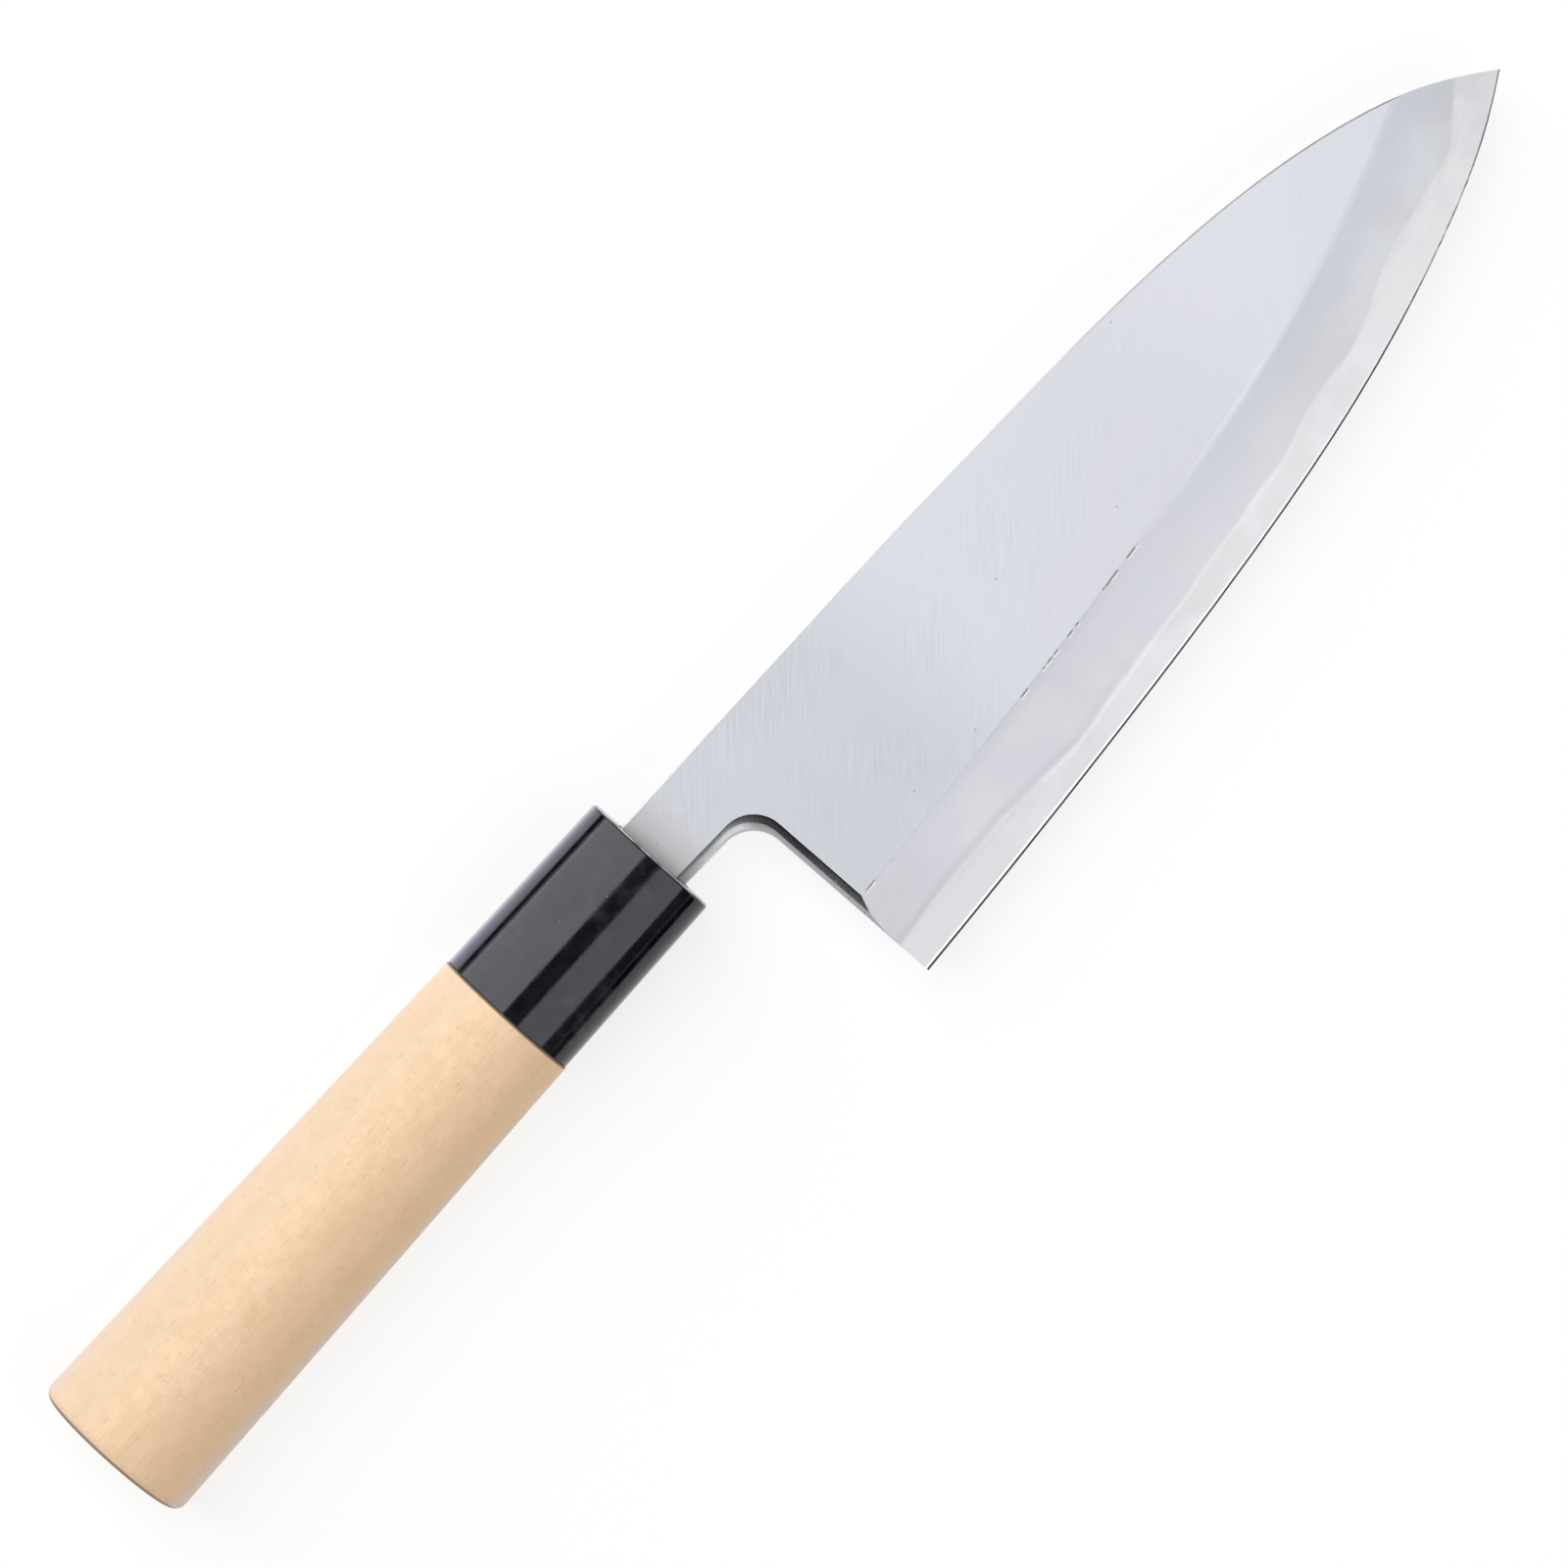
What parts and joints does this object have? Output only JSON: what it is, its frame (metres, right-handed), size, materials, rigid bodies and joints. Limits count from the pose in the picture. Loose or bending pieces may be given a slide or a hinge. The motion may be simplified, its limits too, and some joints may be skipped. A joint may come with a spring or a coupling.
{
  "type": "deba knife",
  "caption": "Right-handed single-bevel deba knife: laminated blade with a hollow-ground back, oval wooden handle and black ferrule.",
  "frame": {"origin": "under the middle of the knife's overall length and width, level with the handle's lowest line", "axes": "+X along the handle's axis to the tip, +Y towards the spine, +Z out of the bevelled face"},
  "size_m": [0.3042, 0.058, 0.022],
  "materials": {
    "soft_iron": "satin, fine hairlines",
    "hard_steel": "bright satin",
    "ferrule_resin": "gloss",
    "handle_wood": "satin, fine straight grain"
  },
  "bodies": {
    "root": {"blade_body": "soft_iron", "edge_steel": "hard_steel", "ferrule": "ferrule_resin", "handle": "handle_wood"}
  },
  "joints": []
}
